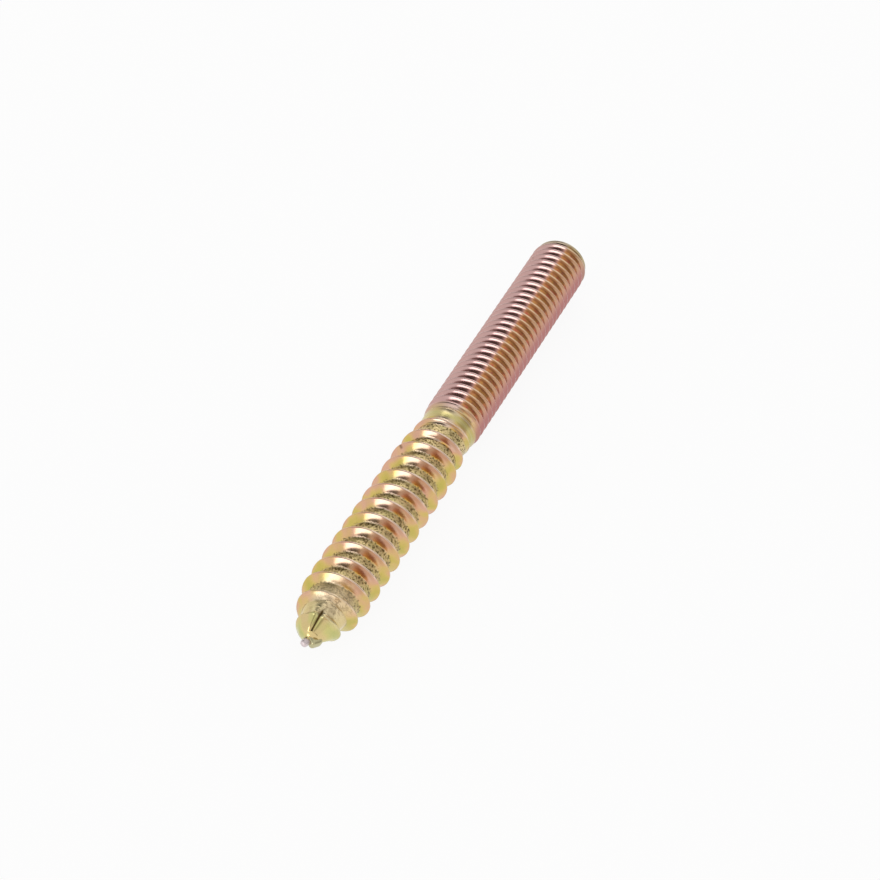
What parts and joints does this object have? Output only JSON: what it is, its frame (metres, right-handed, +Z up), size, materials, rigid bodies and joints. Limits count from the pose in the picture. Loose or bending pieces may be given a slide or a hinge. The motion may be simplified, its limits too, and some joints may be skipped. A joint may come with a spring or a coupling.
{
  "type": "hanger bolt",
  "caption": "Headless double-ended steel bolt with a gimlet-pointed wood thread on one end and a machine-screw thread with a rounded end on the other.",
  "frame": {"origin": "On the bolt's axis, where the machine-thread shank first has its full diameter", "axes": "+X along the axis, out of the machine-thread end, with the wood-thread point at -X; +Z up as the bolt lies on its side; +Y completes a right-handed frame"},
  "size_m": [0.0787, 0.0086, 0.0086],
  "materials": {
    "yellow_zinc_steel": "steel with electroplated zinc and iridescent yellow chromate"
  },
  "bodies": {
    "root": {"hanger_bolt": "yellow_zinc_steel"}
  },
  "joints": []
}
